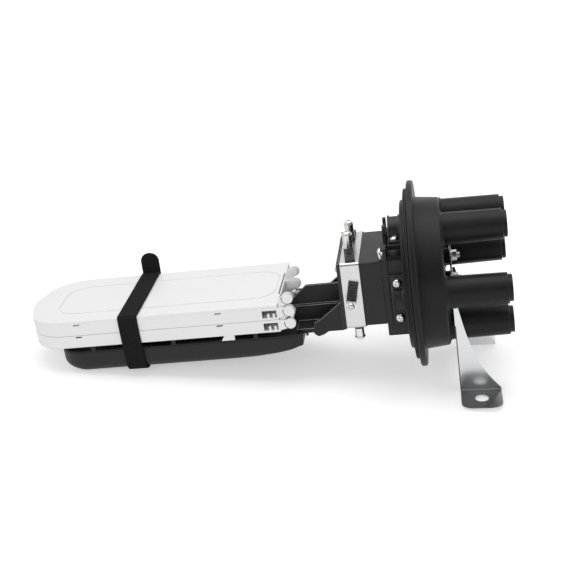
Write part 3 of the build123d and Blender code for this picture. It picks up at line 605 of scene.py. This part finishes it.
# Its edge colour is a painted highlight on the edges that face up.
tray_plastic = finish_material(
    "tray_plastic", (0.8, 0.8, 0.8), (0.84, 0.84, 0.84), (0.36, 0.46), 500.0, cloud=25.0,
    bump=0.05, edge=0.0006, edge_highlight_color=(0.86, 0.86, 0.86),
)
dress(tray_plastic, "lower_tray", "upper_tray", "tray_lid")


def longer(index, a, v, w):
    """A corner of a tray, moved out a little at the round end."""
    share = min(1.0, max(0.0, (tray_round_start - a) / tray_round_length))
    return a - tray_reach * share, v, w


copied_piece("lower_tray", "lower_tray_shell", longer, "lower_tray_body")
copied_piece("upper_tray", "upper_tray_shell", longer, "upper_tray_body")
copied_piece("tray_lid", "tray_lid_shell", longer, "upper_tray_body")
for side, hand in both_sides:
    catch = box_piece(
        f"tray_catch_{side}", catch_span, wall_span(*catch_faces, hand), catch_levels, lean=catch_lean,
    )
    finish_piece(catch, tray_plastic, "lower_tray_body")

# Hinges: white pins in the eyes of both trays, under flat heads that close the eyes, each near eye
# with a thin dark arc below and left of its head, a painted shadow crescent. The third eye is for a
# further tray.
hinge_a = -134.5
hinge_eyes = {
    "lower_tray": (-19.5, "lower_tray_body"),
    "upper_tray": (-5.3, "upper_tray_body"),
    "free_eye": (8.9, "upper_tray_body"),
}
near_head = ("near", -62.6, 5.75)
middle_head = ("middle", 11.4, 3.8)
head_thickness = 1.1
head_sides = 48
crescent_face = -61.6
crescent_width = 1.0
crescent_depth = 0.15
crescent_start = 165.0
crescent_sweep = 115.0
crescent_steps = 24
# Painted shadow: the dark grey of the thin crescent at the lower left of each near head.
slit_dark = finish_material(
    "slit_dark", (0.05, 0.05, 0.05), (0.09, 0.09, 0.09), (0.7, 0.8), 900.0, bump=0.05, shine=0.1,
)
dress(tray_plastic, "lower_hinge_pin", "upper_hinge_pins")


def round_point(radius, degrees, v, level):
    """A point on a circle round a hinge's axis."""
    turn = math.radians(degrees)
    return on_axis(hinge_a + radius * math.cos(turn), v, level + radius * math.sin(turn))


def head_piece(name, level, face, radius):
    """A flat round head across a hinge's axis, from its outer face inwards."""
    points = []
    for v in (face, face + head_thickness):
        for step in range(head_sides):
            points.append(round_point(radius, 360.0 * step / head_sides, v, level))
    mesh = bpy.data.meshes.new(name)
    mesh.from_pydata(points, [], tube_faces(2, head_sides))
    return new_piece(name, mesh)


def crescent_shadow_piece(name, level, inner, outer):
    """A narrow bent bar round a hinge's axis, from its outer face inwards: a painted shadow crescent."""
    points = []
    for v in (crescent_face, crescent_face + crescent_depth):
        for step in range(crescent_steps + 1):
            degrees = crescent_start + crescent_sweep * step / crescent_steps
            points.append(round_point(inner, degrees, v, level))
            points.append(round_point(outer, degrees, v, level))
    back = 2 * (crescent_steps + 1)
    faces = []
    for one in range(0, 2 * crescent_steps, 2):
        two = one + 2
        faces.append((one, one + 1, two + 1, two))
        faces.append((back + one, back + two, back + two + 1, back + one + 1))
        faces.append((one + 1, back + one + 1, back + two + 1, two + 1))
        faces.append((one, two, back + two, back + one))
    mesh = bpy.data.meshes.new(name)
    mesh.from_pydata(points, [], faces)
    return new_piece(name, mesh)


for eye, (level, body) in hinge_eyes.items():
    for side, face, radius in (near_head, middle_head):
        head = head_piece(f"hinge_disc_{eye}_{side}", level, face, radius)
        finish_piece(head, tray_plastic, body)
    crescent_inner = near_head[2]
    # Each near head gets its painted shadow crescent.
    crescent_shadow = crescent_shadow_piece(f"hinge_slit_{eye}", level, crescent_inner, crescent_inner + crescent_width)
    finish_piece(crescent_shadow, slit_dark, body)

# Splice holders: combs of a soft grey plastic, clipped to the trays' floors. The lid and the upper
# tray hide them until they are lifted.
holder_plastic = finish_material(
    "holder_plastic", (0.3, 0.31, 0.32), (0.36, 0.37, 0.38), (0.5, 0.6), 900.0, bump=0.1,
)
dress(holder_plastic, "lower_splice_holder", "upper_splice_holder")

# Strap: hook-and-loop tape with a napped face, drawn tight round trays and basket. It starts under
# its own far side, goes over the lid, down, under and up again, and its end stands up behind.
strap_width = 21.6
strap_thickness = 2.0
strap_place = -309.0
strap_side = 62.75
strap_over = 3.35
strap_under = -62.75
strap_step = 1.1
strap_bends = [
    (strap_side, -24.0, 0.0),
    (strap_side, strap_over, 2.2),
    (-strap_side, strap_over, 2.4),
    (-strap_side, -31.0, 8.0),
    (-strap_side + 0.9, strap_under, 16.3),
    (strap_side - 0.9, strap_under, 16.3),
    (strap_side - 0.9, -38.0, 8.0),
    (strap_side + 2.3, -27.0, 8.0),
    (strap_side + 2.3, 6.0, 20.0),
    (strap_side + 3.2, 27.0, 0.0),
]
strap_tip_round = strap_width / 2 - 0.6
strap_tip_width = 1.2
strap_sway = 0.35
sway_pace = 0.03
nap_scale = Vector((0.9, 0.9, 3.0))
nap_height = 0.192
nap_fine_height = 0.096
nap_fine_scale = 2.7
edge_waver = 0.012
waver_scale = 1.3
face_points = 18
edge_points = 6


def rounded_run(bends, step):
    """Even points along a line of (v, w, corner radius) bends, and the line's length."""
    line = []
    for index, (v, w, radius) in enumerate(bends):
        here = Vector((v, w))
        if radius == 0.0:
            line.append(here)
            continue
        back = (Vector(bends[index - 1][:2]) - here).normalized()
        on = (Vector(bends[index + 1][:2]) - here).normalized()
        reach = radius / math.tan(back.angle(on) / 2)
        start = here + back * reach
        end = here + on * reach
        parts = max(4, int(radius * 3))
        for part in range(parts + 1):
            t = part / parts
            line.append(start * (1 - t) ** 2 + here * 2 * t * (1 - t) + end * t ** 2)
    lengths = [0.0]
    for one, two in zip(line, line[1:]):
        lengths.append(lengths[-1] + (two - one).length)
    count = int(lengths[-1] / step)
    points = []
    stretch = 0
    for index in range(count + 1):
        goal = lengths[-1] * index / count
        while stretch < len(lengths) - 2 and lengths[stretch + 1] < goal:
            stretch += 1
        share = (goal - lengths[stretch]) / (lengths[stretch + 1] - lengths[stretch])
        points.append(line[stretch].lerp(line[stretch + 1], share))
    return points, lengths[-1]


def tape_section(width, thickness):
    """Points (across, out) round the tape's section, with soft edges."""
    edge = thickness / 2
    reach = width / 2 - edge
    half_ring = []
    for index in range(face_points + 1):
        half_ring.append((-reach + 2 * reach * index / face_points, edge))
    for index in range(1, edge_points):
        turn = math.pi / 2 - math.pi * index / edge_points
        half_ring.append((reach + edge * math.cos(turn), edge * math.sin(turn)))
    return half_ring + [(-across, -out) for across, out in half_ring]


strap_run, strap_length = rounded_run(strap_bends, strap_step)
strap_points = []
last = len(strap_run) - 1
for index, spot in enumerate(strap_run):
    heading = (strap_run[min(index + 1, last)] - strap_run[max(index - 1, 0)]).normalized()
    outward = Vector((heading.y, -heading.x))
    to_tip = strap_length * (1 - index / last)
    width = strap_width
    if to_tip < strap_tip_round:
        short = strap_tip_round - to_tip
        width = strap_tip_width + 2 * math.sqrt(max(0.0, strap_tip_round ** 2 - short ** 2))
    section = tape_section(max(width, strap_thickness + 0.1), strap_thickness)
    sway = strap_sway * noise.noise(Vector((index * sway_pace, 4.0, 0.0)))
    for across, out in section:
        mark = Vector((across, index * strap_step, out)) * nap_scale
        nap = nap_height * noise.noise(mark) + nap_fine_height * noise.noise(mark * nap_fine_scale)
        reach = out * (1 + nap)
        spread = across * (1 + edge_waver * noise.noise(mark * waver_scale)) + sway
        flat = spot - outward * reach
        strap_points.append(on_axis(strap_place + spread, flat.x, flat.y))
strap_mesh = bpy.data.meshes.new("strap_tape")
strap_mesh.from_pydata(strap_points, [], tube_faces(len(strap_run), len(section)))
strap_mesh.validate()
for face in strap_mesh.polygons:
    face.use_smooth = True
strap_tape = new_piece("strap_tape", strap_mesh)
strap_cloth = finish_material(
    "strap_cloth", (0.004, 0.004, 0.004), (0.022, 0.022, 0.022), (0.85, 0.95), 1500.0, cloud=420.0,
    bump=0.9, edge=0.0004, depth_mm=0.3, shine=0.1,
)
dress(strap_cloth, "strap")
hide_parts("strap")
finish_piece(strap_tape, strap_cloth, "frame")
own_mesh(strap_tape)

# Mounting bracket: one sheet of polished stainless steel, cut and folded, and bolted to the base. Thin
# dark strips on the tight outer bends of its cheeks are a painted reflection of the dark side of the
# room.
bend_span = (35.34, 36.5)
bend_faces = (57.46, 57.3)
bend_levels = (-116.0, -40.0)
# Its edge colour is a painted highlight on the edges that face up.
bracket_steel = finish_material(
    "bracket_steel", (0.6, 0.61, 0.62), (0.68, 0.69, 0.69), (0.2, 0.27), 700.0, cloud=35.0,
    bump=0.05, edge=0.0005, edge_highlight_color=(0.85, 0.85, 0.85), metallic=1.0, stretch=0.1,
)
# Painted reflection: a dark steel for thin strips on the cheeks' outer bends.
bend_steel = finish_material(
    "bend_steel", (0.1, 0.1, 0.1), (0.14, 0.14, 0.14), (0.25, 0.3), 700.0, bump=0.05, metallic=1.0,
)
dress(bracket_steel, "mounting_bracket")
dress(fastener_steel, "bracket_bolts", "bracket_washers", "bracket_nuts")
# Thin dark strips on both outer bends, a painted reflection.
for side, hand in both_sides:
    bend_reflection_strip = box_piece(f"bracket_bend_{side}", bend_span, wall_span(*bend_faces, hand), bend_levels)
    finish_piece(bend_reflection_strip, bend_steel, "frame")

# Floor: a wide pale sheet that shows as white, brighter far out, and keeps the closure's soft shadow.
# It glows only for the camera and in reflections.
floor_half = 4.0
floor_tone = 0.76
floor_glow = (0.44, 0.8)
floor_glow_reach = (0.3, 1.8)


def plain_mesh(name, corners):
    """A mesh of one four-cornered face."""
    mesh = bpy.data.meshes.new(name)
    mesh.from_pydata(corners, [], [(0, 1, 2, 3)])
    return mesh


def bare_material(name):
    """A material with nothing in it yet but its output."""
    material = bpy.data.materials.new(name)
    material.use_nodes = True
    material.node_tree.nodes.remove(material.node_tree.nodes["Principled BSDF"])
    return material


def seen_rays(tree):
    """A socket that is 1 for rays of the camera, of reflections and through clear pieces."""
    ray = tree.nodes.new("ShaderNodeLightPath")
    seen = add_math(tree, "MAXIMUM")
    seen_too = add_math(tree, "MAXIMUM")
    tree.links.new(ray.outputs["Is Camera Ray"], seen.inputs[0])
    tree.links.new(ray.outputs["Is Glossy Ray"], seen.inputs[1])
    tree.links.new(seen.outputs[0], seen_too.inputs[0])
    tree.links.new(ray.outputs["Is Transmission Ray"], seen_too.inputs[1])
    return seen_too.outputs[0]


floor_corners = [(-1.0, -1.0, 0.0), (1.0, -1.0, 0.0), (1.0, 1.0, 0.0), (-1.0, 1.0, 0.0)]
floor = new_piece("floor", plain_mesh("floor", [Vector(corner) * floor_half for corner in floor_corners]))
floor_material = bare_material("floor_white")
tree = floor_material.node_tree
matt = tree.nodes.new("ShaderNodeBsdfDiffuse")
matt.inputs["Color"].default_value = (floor_tone, floor_tone, floor_tone, 1.0)
glow = tree.nodes.new("ShaderNodeEmission")
glow_amount = add_math(tree, "MULTIPLY")
place = tree.nodes.new("ShaderNodeTexCoord")
away = tree.nodes.new("ShaderNodeVectorMath")
away.operation = "LENGTH"
far_glow = add_range(tree, floor_glow_reach, floor_glow)
far_glow.interpolation_type = "SMOOTHSTEP"
both = tree.nodes.new("ShaderNodeAddShader")
tree.links.new(place.outputs["Object"], away.inputs[0])
tree.links.new(away.outputs["Value"], far_glow.inputs["Value"])
tree.links.new(seen_rays(tree), glow_amount.inputs[0])
tree.links.new(far_glow.outputs["Result"], glow_amount.inputs[1])
tree.links.new(glow_amount.outputs[0], glow.inputs["Strength"])
tree.links.new(matt.outputs[0], both.inputs[0])
tree.links.new(glow.outputs[0], both.inputs[1])
tree.links.new(both.outputs[0], tree.nodes["Material Output"].inputs["Surface"])
floor.data.materials.append(floor_material)

# Studio: white where the camera or a reflection meets it, and a low even fill elsewhere. It is the
# same from every side.
studio_fill = 0.5
studio_white = 1.0
studio = bpy.data.worlds.new("studio")
bpy.context.scene.world = studio
studio.use_nodes = True
tree = studio.node_tree
background = tree.nodes["Background"]
background.inputs["Color"].default_value = (1.0, 1.0, 1.0, 1.0)
strength = add_range(tree, (0.0, 1.0), (studio_fill, studio_white))
tree.links.new(seen_rays(tree), strength.inputs["Value"])
tree.links.new(strength.outputs["Result"], background.inputs["Strength"])

# Lamps: one broad soft box overhead, and one from the viewer's left that doesn't show in reflections.
# Both are turned to the middle of the closure.
lamp_target = flange_middle + Vector((-0.12, 0.0, -0.05))


def soft_box(name, offset, size, power, glossy):
    """A rectangular lamp at an offset from the target, turned to it."""
    lamp = bpy.data.lights.new(name, "AREA")
    lamp.shape = "RECTANGLE"
    lamp.size = size[0]
    lamp.size_y = size[1]
    lamp.energy = power
    holder = new_piece(name, lamp)
    holder.location = lamp_target + Vector(offset)
    holder.rotation_euler = (lamp_target - holder.location).to_track_quat("-Z", "Y").to_euler()
    holder.visible_glossy = glossy


soft_box("overhead_box", (0.0, 0.1, 1.5), (1.6, 1.2), 12.0, True)
soft_box("front_box", (-0.5, -2.0, 0.9), (1.4, 1.0), 16.0, False)

# Dark end of the studio: what the steel mirrors behind the camera. It shows in reflections alone, and
# takes no light and casts no shadow.
card_half = 3.2
card_away = -3.6
card_heights = (0.55, 3.0)
card_glow = 0.05
card_corners = []
for side, height in ((-1, 0), (1, 0), (1, 1), (-1, 1)):
    card_corners.append(flange_middle + Vector((side * card_half, card_away, card_heights[height])))
card = new_piece("dark_studio_end", plain_mesh("dark_studio_end", card_corners))
card_material = bare_material("dark_studio")
tree = card_material.node_tree
card_light = tree.nodes.new("ShaderNodeEmission")
card_light.inputs["Color"].default_value = (card_glow, card_glow, card_glow, 1.0)
card_light.inputs["Strength"].default_value = 1.0
tree.links.new(card_light.outputs[0], tree.nodes["Material Output"].inputs["Surface"])
card.data.materials.append(card_material)
card.visible_camera = False
card.visible_diffuse = False
card.visible_shadow = False

# Camera: at the photograph's place, with its lens, looking down on the closure and a little to the
# left. The tones are kept as they are lit.
camera_offset = Vector((-0.01797, -1.15724, 0.47042))
camera_turn = math.radians(6.18)
camera_drop = math.radians(22.87)
camera_data = bpy.data.cameras.new("photo_camera")
camera_data.sensor_width = 36.0
camera_data.lens = 72.82
camera_data.clip_start = 0.05
camera = new_piece("photo_camera", camera_data)
camera.location = flange_middle + camera_offset
look = Vector(
    (
        -math.sin(camera_turn) * math.cos(camera_drop),
        math.cos(camera_turn) * math.cos(camera_drop),
        -math.sin(camera_drop),
    )
)
camera.rotation_euler = look.to_track_quat("-Z", "Y").to_euler()
scene = bpy.context.scene
scene.camera = camera
scene.view_settings.view_transform = "Standard"
scene.view_settings.look = "None"
scene.view_settings.exposure = 0.0
scene.view_settings.gamma = 1.0
